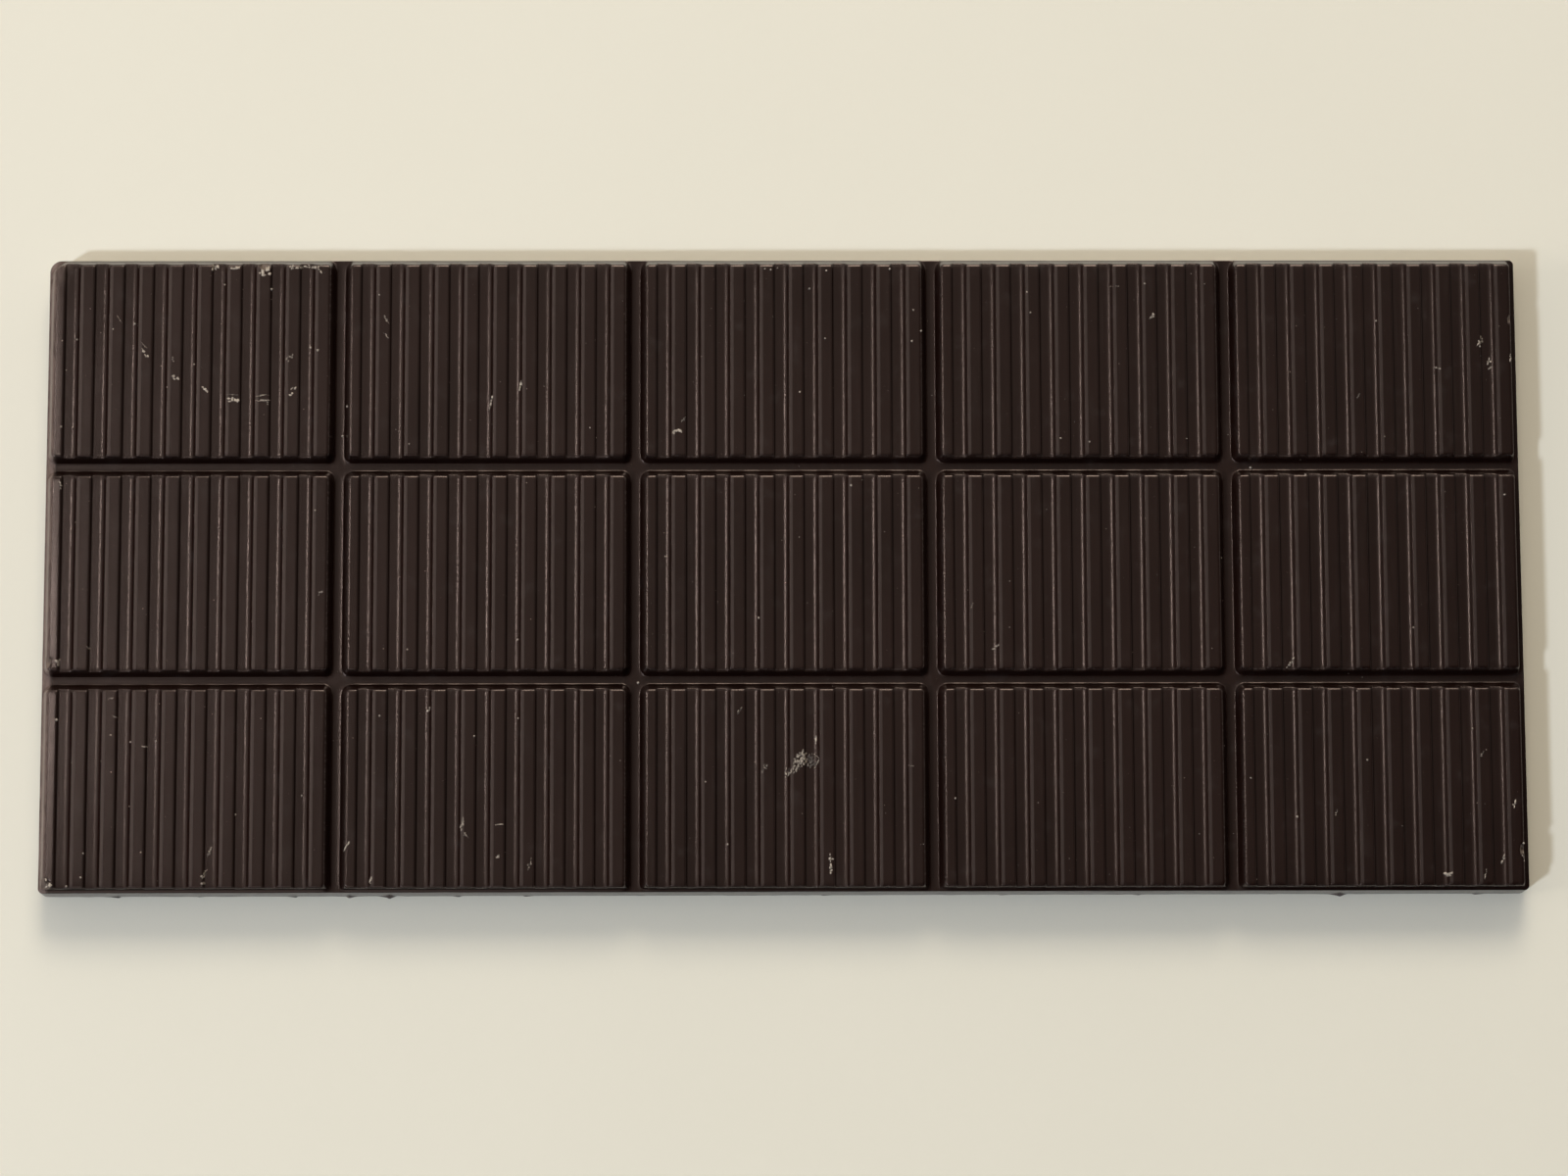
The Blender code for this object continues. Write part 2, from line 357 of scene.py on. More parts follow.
# Crumbs that show singly, in mm: (x, y, size)
CRUMBS = (
    (7.9, 10.3, 0.55), (-52.2, 16.5, 0.35), (-51.6, 19.9, 0.30), (-22.9, 17.2, 0.40),
    (-9.3, -24.7, 0.30), (55.3, 12.6, 0.40), (-17.2, -12.9, 0.35), (-83.6, 27.9, 0.28),
    (-85.3, 27.7, 0.32), (-85.2, 17.4, 0.30), (-83.9, 17.4, 0.28), (-76.8, 29.8, 0.26),
    (-79.3, 29.1, 0.34), (-66.2, 34.5, 0.26), (-60.7, 33.9, 0.42), (-56.0, 26.9, 0.30),
    (-55.1, 26.5, 0.36), (-69.7, 24.9, 0.24), (-47.9, 33.2, 0.26), (-44.2, 15.3, 0.26),
    (3.1, 34.0, 0.32), (1.9, 21.5, 0.30), (4.9, 27.9, 0.26), (15.4, 31.3, 0.32),
    (15.2, 27.6, 0.36), (16.3, 28.8, 0.26), (-1.5, 36.2, 0.34), (-2.2, 36.3, 0.32),
    (-0.7, 36.5, 0.26), (5.1, 36.1, 0.40), (12.6, 36.3, 0.30), (28.9, 33.5, 0.26),
    (29.3, 31.0, 0.28), (42.9, 34.5, 0.26), (32.7, 15.9, 0.28), (36.1, 15.5, 0.28),
    (82.6, 26.9, 0.34), (77.8, 24.2, 0.28), (70.4, 30.0, 0.26), (-55.2, 7.4, 0.26),
    (-14.0, 1.9, 0.26), (-3.0, -5.4, 0.28), (-31.3, -7.9, 0.32), (-44.2, -9.1, 0.26),
    (85.1, 9.1, 0.32), (61.6, 11.5, 0.26), (74.0, -6.7, 0.28), (-85.1, -17.3, 0.34),
    (-78.7, -19.1, 0.28), (-76.4, -19.9, 0.28), (-73.5, -19.8, 0.26), (-81.7, -32.9, 0.28),
    (-81.9, -35.7, 0.32), (-75.0, -32.8, 0.26), (-64.1, -28.4, 0.28), (-56.4, -26.2, 0.28),
    (-47.4, -16.9, 0.28), (-36.3, -19.3, 0.26), (-31.2, -17.2, 0.28), (-6.7, -32.0, 0.26),
    (19.9, -26.7, 0.28), (59.9, -28.9, 0.28), (54.5, -24.4, 0.26), (68.2, -22.3, 0.26),
    (80.7, -18.6, 0.28), (86.3, -32.1, 0.34), (-85.3, -36.6, 0.32), (-83.6, -36.7, 0.30),
)

# Finer crumbs that lie anywhere on the top, in mm: (how many, smallest size, largest size)
FINE_CRUMBS = ((190, 0.07, 0.16), (900, 0.03, 0.06))
CRUMB_REACH_X = 0.985
CRUMB_REACH_Y = 0.975
CRUMB_HEIGHTS = (0.4, 0.8)
CRUMB_GROWTH = (0.7, 1.25)
CRUMB_LIFT = 0.5
SINGLE_LIGHTNESS = 0.8
FINE_LIGHTNESS = 0.2

# Noise in the materials: (factor on each axis, cells per mm, detail, roughness). A small factor draws
# the pattern out along its axis.
EVEN = (1.0, 1.0, 1.0)
NOISES = {
    "mottle": (EVEN, 0.06, 4.0, 0.5),
    "streak": ((1.0, 0.07, 1.0), 1.6, 3.0, 0.5),
    "veil": (EVEN, 0.35, 6.0, 0.62),
    "fine": (EVEN, 3.0, 4.0, 0.6),
    "patches": ((1.0, 0.25, 1.0), 2.2, 5.0, 0.65),
    "grain": (EVEN, 5.0, 3.0, 0.6),
    "clouds": (EVEN, 2.5, 4.0, 0.65),
    "crumble": (EVEN, 9.0, 3.0, 0.6),
    "floor": (EVEN, 0.02, 3.0, 0.5),
}

# The chocolate's plain browns, and the layers over them from the bottom up. A layer lies on the
# points that its mark names, or anywhere without one, and its share follows a noise:
# (mark, noise, (noise from, noise to, share from, share to), colour).
PLAIN_BROWNS = ((0.0062, 0.0021, 0.0014, 1), (0.0082, 0.0030, 0.0021, 1))
MOTTLE_LIMITS = (0.35, 0.65)
LAYERS = (
    (None, "streak", (0.55, 0.80, 0.0, 0.25), (0.020, 0.014, 0.012, 1)),
    (None, "veil", (0.55, 0.80, 0.0, 0.25), (0.045, 0.038, 0.035, 1)),
    ("edge", "fine", (0.35, 0.70, 0.0, 0.18), (0.12, 0.10, 0.09, 1)),
    # Worn: wear round the corner and dust on the walls, with painted light along the left edge and
    # left walls.
    ("worn", "patches", (0.25, 0.70, 0.35, 1.0), (0.15, 0.105, 0.088, 1)),
    # A painted highlight: a paler line along the right-hand crest of every channel, facing the lamps.
    ("rubbed", "patches", (0.25, 0.70, 0.70, 1.0), (0.022, 0.0155, 0.014, 1)),
    ("lip", "fine", (0.30, 0.55, 0.50, 1.0), (0.11, 0.085, 0.075, 1)),
)
BROKEN_SHARE = 0.8
BROKEN_COLOUR = (0.12, 0.09, 0.07, 1)
SHEEN_TINT = (1.0, 0.79, 0.72, 1.0)

# What adds up to the chocolate's roughness: (noise, limits as above), then (layer, what it adds).
# The lip and the broken places together are the scraped layer.
NOISE_DULLNESS = (
    ("mottle", (0.30, 0.70, 0.195, 0.215)),
    ("veil", (0.40, 0.80, 0.0, 0.04)),
    ("streak", (0.40, 0.70, -0.005, 0.01)),
)
LAYER_DULLNESS = (("scraped", 0.35), ("rubbed", 0.22), ("worn", 0.15))

# The loose bits and the floor: dark and light colours, and limits as above
FLAKE_COLOURS = ((0.05, 0.038, 0.032, 1), (0.45, 0.375, 0.30, 1))
CRUMB_COLOURS = ((0.06, 0.045, 0.038, 1), (0.42, 0.36, 0.30, 1))
SCRAPED_TONES = (0.30, 0.70, -0.45, 0.35)
SCRAPED_ROUGHNESS = (0.30, 0.70, 0.62, 0.85)
FLOOR_COLOURS = ((0.695, 0.650, 0.540, 1), (0.720, 0.672, 0.560, 1))
FLOOR_ROUGHNESS = (0.30, 0.70, 0.50, 0.56)
FLOOR_REACH = 3.0

# Bumps: (strength, depth)
GRAIN_BUMP = (0.5, 0.0025 * MM)
STREAK_BUMP = (0.6, 0.003 * MM)
CRUMBLE_BUMP = (0.8, 0.02 * MM)

# The room's soft light: overhead, at the horizon, and how it leans: low down to the right and the
# back, and high up to the left and the back
ROOM_COLOUR = (1.0, 0.94, 0.87, 1.0)
ROOM_ZENITH = 0.31
ROOM_HORIZON = 0.36
ROOM_LOW_LEAN = (0.60, 0.57, 0.0)
ROOM_HIGH_LEAN = (-0.777, 0.50, 0.0)

# The lamps, each a soft rectangle that faces the bar. Some light the gloss alone, and some the rest
# alone. The two at the front stand in one place.
FRONT_PLACE = (-1.20, -0.83, 1.66)
FRONT_SIZE = (0.17, 0.17)
LAMPS = (
    {
        "name": "side_light",
        "place": (-0.50, 0.16, 1.50),
        "size": (0.06, 0.06),
        "power": 0.68,
        "colour": (1.0, 0.98, 0.95),
        "on_matt": False,
    },
    {
        "name": "high_light",
        "place": (-0.89, 0.325, 1.88),
        "size": (0.08, 0.08),
        "power": 1.9,
        "colour": (1.0, 0.97, 0.93),
        "on_matt": False,
    },
    {
        "name": "front_light",
        "place": FRONT_PLACE,
        "size": FRONT_SIZE,
        "power": 29.0,
        "colour": (0.71, 0.83, 1.0),
        "in_gloss": False,
    },
    {
        "name": "front_glint",
        "place": FRONT_PLACE,
        "size": FRONT_SIZE,
        "power": 9.0,
        "colour": (0.86, 0.92, 1.0),
        "on_matt": False,
    },
    {
        "name": "back_light",
        "place": (0.06, 1.06, 0.90),
        "size": (0.55, 0.50),
        "power": 10.3,
        "colour": (1.0, 0.93, 0.79),
    },
    {
        "name": "low_light",
        "place": (-0.75, -0.05, 0.28),
        "size": (0.30, 0.30),
        "power": 0.186,
        "colour": (1.0, 0.94, 0.86),
        "in_gloss": False,
        "spread": 0.87,
    },
    {
        "name": "front_sheen",
        "place": (-0.31, -0.70, 1.20),
        "size": (0.48, 0.35),
        "power": 0.6,
        "colour": (1.0, 0.95, 0.92),
        "on_matt": False,
    },
)

# The view: where the lens is, how it is turned and how long it is
CAMERA_PLACE = (-5.588 * MM, -64.17 * MM, 485.2 * MM)
CAMERA_TILT = 0.12919
CAMERA_YAW = -0.01147
CAMERA_ROLL = -0.00148
SENSOR_WIDTH = 36.0
LENS = 94.43
NEAREST_SEEN = 0.01


# ---------------------------------------------------------------- the moulded surface


def soft_min(first, second, softness):
    """The lower of two heights, blended over a band as deep as softness."""
    blend = np.maximum(softness - np.abs(first - second), 0.0) / softness
    return np.minimum(first, second) - blend * blend * softness / 4


def soft_max(first, second, softness):
    return -soft_min(-first, -second, softness)


def waves(x, y, length, seed):
    """Smooth noise between -1 and 1, from a seeded lattice with its points a length apart."""
    side = LATTICE_SIDE
    lattice = np.random.default_rng(seed).uniform(-1.0, 1.0, (side, side))
    u = np.asarray(x) / length
    v = np.asarray(y) / length
    column = np.floor(u).astype(int)
    row = np.floor(v).astype(int)
    u = u - column
    v = v - row
    u = u * u * (3 - 2 * u)
    v = v * v * (3 - 2 * v)
    left = column % side
    right = (column + 1) % side
    near = lattice[left, row % side] * (1 - u) + lattice[right, row % side] * u
    far = lattice[left, (row + 1) % side] * (1 - u) + lattice[right, (row + 1) % side] * u
    return near * (1 - v) + far * v


def cell(position, count, pitch):
    """The block that a position falls in along one axis, and the position from its middle."""
    middle = (count - 1) / 2
    index = np.clip(np.rint(position / pitch + middle), 0, count - 1)
    return index, position - (index - middle) * pitch


def channel_section():
    """Offsets over one channel and how far its surface lies below the top, both walls as deep."""
    offsets, slopes = np.array(CHANNEL_SECTION, float).T
    fine = np.linspace(offsets[0], offsets[-1], SECTION_STEPS)
    rise = np.tan(np.radians(np.interp(fine, offsets, slopes)))
    falling = np.minimum(rise, 0)
    rising = np.maximum(rise, 0)
    drop = np.cumsum(rising) / rising.sum() - np.cumsum(falling) / falling.sum()
    return fine * MM, -drop * CHANNEL_DEPTH


SECTION_OFFSETS, SECTION_DROPS = channel_section()


def from_channel(x):
    """How far a point lies to the right of the nearest channel's middle."""
    _, local = cell(x, COLUMNS, COLUMN_PITCH)
    along = local + HALF_BLOCK_LENGTH - FIRST_CHANNEL
    nearest = np.clip(np.rint(along / CHANNEL_PITCH), 0, CHANNELS_PER_BLOCK - 1)
    return along - nearest * CHANNEL_PITCH


def rib_drop(x):
    """How far the ribbed top lies below the blocks' top plane."""
    return np.interp(from_channel(x), SECTION_OFFSETS, SECTION_DROPS)


def crest_sheen_share(x, y):
    """How much painted highlight and dullness each point has: on the channels' right-hand crests,
    never in a groove.
    """
    off_crest = (from_channel(x) - PAINTED_SHEEN_CREST) / PAINTED_SHEEN_WIDTH
    return np.exp(-(off_crest**PAINTED_SHEEN_FADE)) * np.clip(inside_block(x, y) / EDGE_BEND, 0, 1)


def inside_block(x, y):
    """How far a point lies inside the nearest block's top outline: negative in a groove."""
    column, local_x = cell(x, COLUMNS, COLUMN_PITCH)
    row, local_y = cell(y, ROWS, ROW_PITCH)
    worn = (column == 0) & (row == ROWS - 1) & (local_x < 0) & (local_y > 0)
    radius = np.where(worn, WORN_CORNER_RADIUS, BLOCK_CORNER_RADIUS)
    past_x = np.abs(local_x) - HALF_BLOCK_LENGTH + radius
    past_y = np.abs(local_y) - HALF_BLOCK_WIDTH + radius
    outside = np.hypot(np.maximum(past_x, 0), np.maximum(past_y, 0))
    return radius - outside - np.minimum(np.maximum(past_x, past_y), 0)


def outer_crown(x, y):
    """How far the top bends down towards the bar's own outline."""
    in_x = HALF_SLAB_LENGTH - OUTER_REACH - np.abs(x)
    in_y = HALF_SLAB_WIDTH - OUTER_REACH - np.abs(y)
    worn = np.clip((y - WORN_START) / (WORN_FULL - WORN_START), 0, 1)
    left_drop = END_CROWN + (WORN_END_CROWN - END_CROWN) * worn
    end_drop = np.where(x < 0, left_drop, SIDE_CROWN)
    towards_end = np.clip(1 - in_x / CROWN_WIDTH, 0, 1)
    towards_side = np.clip(1 - in_y / CROWN_WIDTH, 0, 1)
    return end_drop * towards_end**2 + SIDE_CROWN * towards_side**2


def wall_run(x, y, inside):
    """How far a wall runs outwards on its way down to the groove floor's height."""
    past_right = x - (HALF_SLAB_LENGTH - OUTER_REACH)
    past_front = -y - (HALF_SLAB_WIDTH - OUTER_REACH)
    outside = np.maximum(-inside, LEAST_OUTSIDE)
    steep = np.clip(np.maximum(past_right, past_front) / outside, 0, 1)
    _, local_y = cell(y, ROWS, ROW_PITCH)
    broad = np.clip((local_y - HALF_BLOCK_WIDTH) / outside, 0, 1) * (1 - steep)
    return BLOCK_DRAFT + (STEEP_DRAFT - BLOCK_DRAFT) * steep + (BACK_DRAFT - BLOCK_DRAFT) * broad


def wear_and_left_light_share(x, y):
    """How pale each point is: along the bar's left edge, wear with painted light, and round its worn
    corner, wear.
    """
    past_left = -x - (HALF_SLAB_LENGTH - OUTER_REACH)
    edge = np.clip((past_left + WORN_AND_LIT_WIDTH) / WORN_AND_LIT_WIDTH, 0, 1)
    to_corner = np.hypot(x + HALF_SLAB_LENGTH, y - HALF_SLAB_WIDTH)
    return np.maximum(edge, np.clip(1 - to_corner / WORN_CORNER_REACH, 0, 1))


def chipped(x, y, height):
    """The height with the broken places bitten out of it, and how much of a break each point is."""
    broken = np.zeros_like(height)
    for index, (chip_x, chip_y, radius, middle) in enumerate(EDGE_CHIPS):
        ragged = radius * (1 + CHIP_RAGGEDNESS * waves(x, y, CHIP_WAVE_LENGTH, CHIP_SEED + index))
        away = np.hypot(x - chip_x, y - chip_y)
        bowl = middle - np.sqrt(np.maximum(ragged**2 - away**2, 0))
        bitten = (away < ragged) & (bowl < height)
        height = np.where(bitten, bowl, height)
        broken = np.where(bitten, 1.0, broken)
    return height, broken


def surface(x, y):
    """The height of the bar's top at each point, and how much of a break it is."""
    x = np.asarray(x, float)
    y = np.asarray(y, float)
    inside = inside_block(x, y)
    bend = np.clip(EDGE_BEND - inside, 0, EDGE_BEND)
    ribs = rib_drop(x)
    bend_drop = EDGE_RADIUS - np.sqrt(EDGE_RADIUS**2 - bend**2)
    bend_drop = bend_drop * (1 - FLOOR_BEND_LOSS * ribs / CHANNEL_DEPTH)
    top = TOP - ribs - outer_crown(x, y) - bend_drop
    wall = TOP - EDGE_DROP + inside * GROOVE_DEPTH / wall_run(x, y, inside)
    from_middle = np.clip(GROOVE_MOUTH / 2 + inside, 0, GROOVE_MOUTH / 2)
    floor = GROOVE_FLOOR + from_middle**2 / (2 * FLOOR_RADIUS)
    height = soft_max(soft_min(top, wall, EDGE_SOFTNESS), floor, FILLET_SOFTNESS)
    height = height - WAVE_HEIGHT * (1 + waves(x, y, WAVE_LENGTH, WAVE_SEED))
    return chipped(x, y, height)


# ---------------------------------------------------------------- the bar's mesh


def merged(lines):
    """Sorted grid lines, without those that nearly coincide."""
    kept = []
    for line in sorted(lines):
        if not kept or line - kept[-1] > CLOSEST_LINES:
            kept.append(line)
    return kept


def block_lines(middle, half, first, last):
    """Grid lines at one block's two edges, and out to the middle of the grooves beside it."""
    lines = []
    for side in (-1, 1):
        outermost = first if side < 0 else last
        offsets = EDGE_LINES if outermost else EDGE_LINES + GROOVE_LINES
        lines += [middle + side * (half - offset * MM) for offset in offsets]
    return lines


def chip_lines(axis, reach):
    """Grid lines through each broken place along one axis, short of the bar's outline."""
    lines = [chip[axis] + step * chip[2] for chip in EDGE_CHIPS for step in CHIP_LINES]
    return [line for line in lines if abs(line) < reach - CLOSEST_LINES]


def lines_along_bar():
    lines = chip_lines(0, HALF_SLAB_LENGTH)
    for column in range(COLUMNS):
        middle = (column - (COLUMNS - 1) / 2) * COLUMN_PITCH
        lines += block_lines(middle, HALF_BLOCK_LENGTH, column == 0, column == COLUMNS - 1)
        for channel in range(CHANNELS_PER_BLOCK):
            centre = middle - HALF_BLOCK_LENGTH + FIRST_CHANNEL + channel * CHANNEL_PITCH
            lines += [centre + offset * MM for offset in CHANNEL_LINES]
    return merged(lines)


def lines_across_bar():
    lines = chip_lines(1, HALF_SLAB_WIDTH)
    for row in range(ROWS):
        middle = (row - (ROWS - 1) / 2) * ROW_PITCH
        lines += block_lines(middle, HALF_BLOCK_WIDTH, row == 0, row == ROWS - 1)
        inner = HALF_BLOCK_WIDTH - EDGE_LINES[0] * MM
        count = round(2 * inner / LINE_SPACING)
        lines += [middle - inner + 2 * inner * step / count for step in range(1, count)]
    return merged(lines)


def pulled_front(y):
    """Where points lie across the bar once its front wall is drawn in, which makes it steeper."""
    past = -y - (HALF_SLAB_WIDTH - OUTER_REACH)
    moved = np.interp(past, FRONT_FROM, FRONT_TO)
    return np.where(past > FRONT_FROM[0], OUTER_REACH - HALF_SLAB_WIDTH - moved, y)


def half_width(y, pull):
    """Half the slab's width on each point's side, with the front side drawn in by the pull."""
    return HALF_SLAB_WIDTH - np.where(y < 0, pull, 0.0)


def corner_radius(x, y):
    """The radius of the outline's corner on each point's side."""
    return np.where((x < 0) & (y > 0), WORN_CORNER_RADIUS, BAR_CORNER_RADIUS)


def round_corners(x, y, pull=0.0):
    """Moves the points in the grid's corner squares, so that the outline's corners are round."""
    radius = corner_radius(x, y)
    u = (np.abs(x) - HALF_SLAB_LENGTH + radius) / radius
    v = (np.abs(y) - half_width(y, pull) + radius) / radius
    corner = (u > 0) & (v > 0)
    u = np.clip(u, 0, 1)
    v = np.clip(v, 0, 1)
    round_u = u * np.sqrt(1 - v * v / 2)
    round_v = v * np.sqrt(1 - u * u / 2)
    round_x = np.sign(x) * (HALF_SLAB_LENGTH - radius + radius * round_u)
    round_y = np.sign(y) * (half_width(y, pull) - radius + radius * round_v)
    return np.where(corner, round_x, x), np.where(corner, round_y, y)


def outward(x, y):
    """The outline's outward direction at each of its points."""
    radius = corner_radius(x, y)
    u = np.maximum(np.abs(x) - HALF_SLAB_LENGTH + radius, 0)
    v = np.maximum(np.abs(y) - half_width(y, FRONT_PULL) + radius, 0)
    in_corner = (u > 0) & (v > 0)
    u = np.where(in_corner, u, np.where(u > v, 1.0, 0.0))
    v = np.where(in_corner, v, np.where(u > 0, 0.0, 1.0))
    length = np.hypot(u, v)
    return np.sign(x) * u / length, np.sign(y) * v / length


def rim_indices(count_x, count_y):
    """The grid's outermost points, counter-clockwise, as indices into its points row by row."""
    front = list(range(count_x))
    right = [row * count_x + count_x - 1 for row in range(1, count_y)]
    back = [(count_y - 1) * count_x + column for column in range(count_x - 2, -1, -1)]
    left = [row * count_x for row in range(count_y - 2, 0, -1)]
    return front + right + back + left


def skirt_rings(rim_x, rim_y):
    """Rings of points from the shelf's edge down the wall, over the uneven lip, to the underside.

    At the front the lip is all but missing, apart from its spots of flash.
    """
    normal_x, normal_y = outward(rim_x, rim_y)
    ragged = waves(rim_x, rim_y, LIP_FINE_LENGTH, LIP_FINE_SEED) * 0.5
    ragged = ragged + waves(rim_x, rim_y, LIP_BROAD_LENGTH, LIP_BROAD_SEED) * 0.5
    share = np.clip(LIP_USUAL + LIP_UNEVENNESS * ragged, LIP_LEAST, 1.0)
    front = np.clip(-normal_y, 0, 1)
    spots = waves(rim_x, 0 * rim_x, FLASH_LENGTH, FLASH_SEED)
    flash = np.clip(spots - FLASH_START, 0, 1) * front
    flash = flash / flash.max()
    farthest = SLAB_DRAFT + LIP_REACH + FRONT_PULL * front
    rings = []
    for number, (reach, height) in enumerate(SKIRT):
        in_lip = number >= FIRST_LIP_RING
        past_wall = (reach - SLAB_DRAFT) / LIP_REACH
        if in_lip:
            reach = SLAB_DRAFT + (reach - SLAB_DRAFT) * share
            height = height * (LIP_STEADY_HEIGHT + (1 - LIP_STEADY_HEIGHT) * share)
        drawn_in = reach * FRONT_REACH_SHARE
        if in_lip:
            drawn_in = drawn_in * (1 - share * past_wall) + flash * past_wall * (farthest - drawn_in)
        reach = reach * (1 - front) + drawn_in * front
        wobble = SKIRT_WAVE_HEIGHT * waves(rim_x, rim_y, SKIRT_WAVE_LENGTH, SKIRT_SEED + number)
        reach = np.minimum(reach + wobble, farthest)
        rings.append((rim_x + normal_x * reach, rim_y + normal_y * reach, height + 0 * rim_x))
    return rings


def inner_places(half):
    """Evenly spaced places between the underside's two edges along one axis."""
    return np.arange(-half + UNDERSIDE_INSET, half - UNDERSIDE_INSET / 2, UNDERSIDE_SPACING)


def underside(ring_x, ring_y):
    """Points inside the last ring, and triangles over them and the ring."""
    places = np.meshgrid(inner_places(HALF_SLAB_LENGTH), inner_places(HALF_SLAB_WIDTH))
    inner_x, inner_y = (part.ravel() for part in places)
    inner_x = inner_x + UNDERSIDE_JITTER * waves(inner_x, inner_y, UNDERSIDE_SPACING, JITTER_X_SEED)
    inner_y = inner_y + UNDERSIDE_JITTER * waves(inner_x, inner_y, UNDERSIDE_SPACING, JITTER_Y_SEED)
    uneven = waves(inner_x, inner_y, HOLLOW_LENGTH, HOLLOW_SEED)
    inner_z = UNDERSIDE_HOLLOW * (HOLLOW_STEADY + (1 - HOLLOW_STEADY) * uneven)

    flat = [Vector(pair) for pair in zip(ring_x, ring_y)]
    outline = list(range(len(flat)))
    flat += [Vector(pair) for pair in zip(inner_x, inner_y)]
    _, _, made_faces, origins, _, _ = delaunay_2d_cdt(flat, [], [outline], 1, TOUCHING)
    source = [found[0] for found in origins]
    triangles = [[source[corner] for corner in face] for face in made_faces]
    return np.stack([inner_x, inner_y, inner_z], 1), triangles


def top_sheet():
    """The ribbed top's points and their marks, its quads, and which points are its rim."""
    lines_x = lines_along_bar()
    lines_y = lines_across_bar()
    count_x = len(lines_x)
    count_y = len(lines_y)
    grid_x, grid_y = (part.ravel() for part in np.meshgrid(lines_x, lines_y))
    even_x, even_y = round_corners(grid_x, grid_y)
    height, broken = surface(even_x, even_y)
    edge = np.exp(-((inside_block(even_x, even_y) / EDGE_DUST_WIDTH) ** 2))
    # Wear, with painted light along the left edge
    worn = wear_and_left_light_share(even_x, even_y)
    marks = np.stack([edge, 0 * edge, broken, worn, crest_sheen_share(even_x, even_y)], 1)
    x, y = round_corners(grid_x, pulled_front(grid_y), FRONT_PULL)
    corner = (np.arange(count_y - 1)[:, None] * count_x + np.arange(count_x - 1)).ravel()
    quads = np.stack([corner, corner + 1, corner + count_x + 1, corner + count_x], 1)
    return np.stack([x, y, height], 1), marks, quads, np.array(rim_indices(count_x, count_y))


def bar_mesh():
    """One closed mesh: the ribbed top, the walls and lip round it, and the plain underside."""
    top, top_marks, top_quads, upper = top_sheet()
    points = [top]
    marks = [top_marks]
    quads = [top_quads]
    start = len(top)
    rim_x, rim_y, _ = top[upper].T
    facing_x, facing_y = outward(rim_x, rim_y)
    lip_share = np.where(facing_y > FACING, BACK_LIP_SHARE, 1.0)
    # The walls' dust, and more on the walls that face the left, which paints light there
    wall_wear_and_light = np.where(facing_x < -FACING, LEFT_WALL_WEAR_AND_LIGHT, WALL_WEAR)
    nothing = np.zeros(len(upper))
    for number, ring in enumerate(skirt_rings(rim_x, rim_y)):
        points.append(np.stack(ring, 1))
        lip = lip_share if number >= FIRST_LIP_RING else nothing
        marks.append(np.stack([nothing, lip, nothing, wall_wear_and_light, nothing], 1))
        lower = start + np.arange(len(upper))
        quads.append(np.stack([lower, np.roll(lower, -1), np.roll(upper, -1), upper], 1))
        start += len(upper)
        upper = lower

    ring_x, ring_y, _ = ring
    inner, triangles = underside(ring_x, ring_y)
    points.append(inner)
    marks.append(np.zeros((len(inner), len(MARKS))))
    first = int(upper[0])
    faces = np.concatenate(quads).tolist()
    faces += [[first + corner for corner in reversed(triangle)] for triangle in triangles]
    return np.concatenate(points), faces, np.concatenate(marks)


def make_piece(name, points, faces, marks, names, material):
    """A smooth mesh object with its material, and with the named marks at its points."""
    mesh = bpy.data.meshes.new(name)
    mesh.from_pydata(points.tolist(), [], faces)
    for column, mark_name in enumerate(names):
        attribute = mesh.attributes.new(mark_name, "FLOAT", "POINT")
        attribute.data.foreach_set("value", marks[:, column].astype(np.float32))
    mesh.validate()
    mesh.shade_smooth()
    mesh.materials.append(material)
    piece = bpy.data.objects.new(name, mesh)
    bpy.context.scene.collection.objects.link(piece)
    return piece


# ---------------------------------------------------------------- flakes and crumbs


def add_fragment(points, faces, centre, along, across, lightness, random):
    """A thin ragged scab on the surface, as points of (x, y, height over the surface, lightness)."""
    ragged = 1 + random.uniform(-FRAGMENT_RAGGEDNESS, FRAGMENT_RAGGEDNESS, FRAGMENT_POINTS)
    start = len(points)
    for number, scale in enumerate(FRAGMENT_RINGS):
        for step in range(FRAGMENT_POINTS):
            lift = FLAKE_THICKNESS * random.uniform(FLAKE_LEAST_LIFT, 1.0) if number else -FLAKE_SINK
            turned = 2 * math.pi * step / FRAGMENT_POINTS
            reach = scale * ragged[step]
            spot = centre + (along * math.cos(turned) + across * math.sin(turned)) * reach
            points.append((spot[0] * MM, spot[1] * MM, lift, lightness))
    for ring in range(len(FRAGMENT_RINGS) - 1):
        for step in range(FRAGMENT_POINTS):
            low = start + ring * FRAGMENT_POINTS
            high = low + FRAGMENT_POINTS
            after = (step + 1) % FRAGMENT_POINTS
            faces.append([low + step, low + after, high + after, high + step])
    top = start + (len(FRAGMENT_RINGS) - 1) * FRAGMENT_POINTS
    faces.append([top + step for step in range(FRAGMENT_POINTS)])
    faces.append([start + step for step in reversed(range(FRAGMENT_POINTS))])


def add_flake(points, faces, place, random):
    """One scrape: a row of ragged fragments, slimmer towards its two ends."""
    x, y, length, width, turn, lightness = place
    length = length * FLAKE_LENGTHENING
    width = width * FLAKE_WIDENING
    angle = math.radians(turn)
    along = np.array([math.cos(angle), math.sin(angle)])
    across = np.array([-math.sin(angle), math.cos(angle)])
    count = max(2, round(length * FRAGMENTS_PER_MM))
    for number in range(count):
        way = (number + 0.5) / count - 0.5 + random.uniform(-STRAY_ALONG, STRAY_ALONG)
        slim = 1 - 2 * way**2
        aside = across * width * random.uniform(-STRAY_ACROSS, STRAY_ACROSS)
        centre = np.array([x, y]) + along * way * length + aside
        half_along = length / count * random.uniform(*FRAGMENT_LENGTHS)
        half_across = width / 2 * slim * random.uniform(*FRAGMENT_WIDTHS)
        tone = min(max(lightness + random.uniform(*FRAGMENT_TONES), 0.0), 1.0)
        add_fragment(points, faces, centre, along * half_along, across * half_across, tone, random)


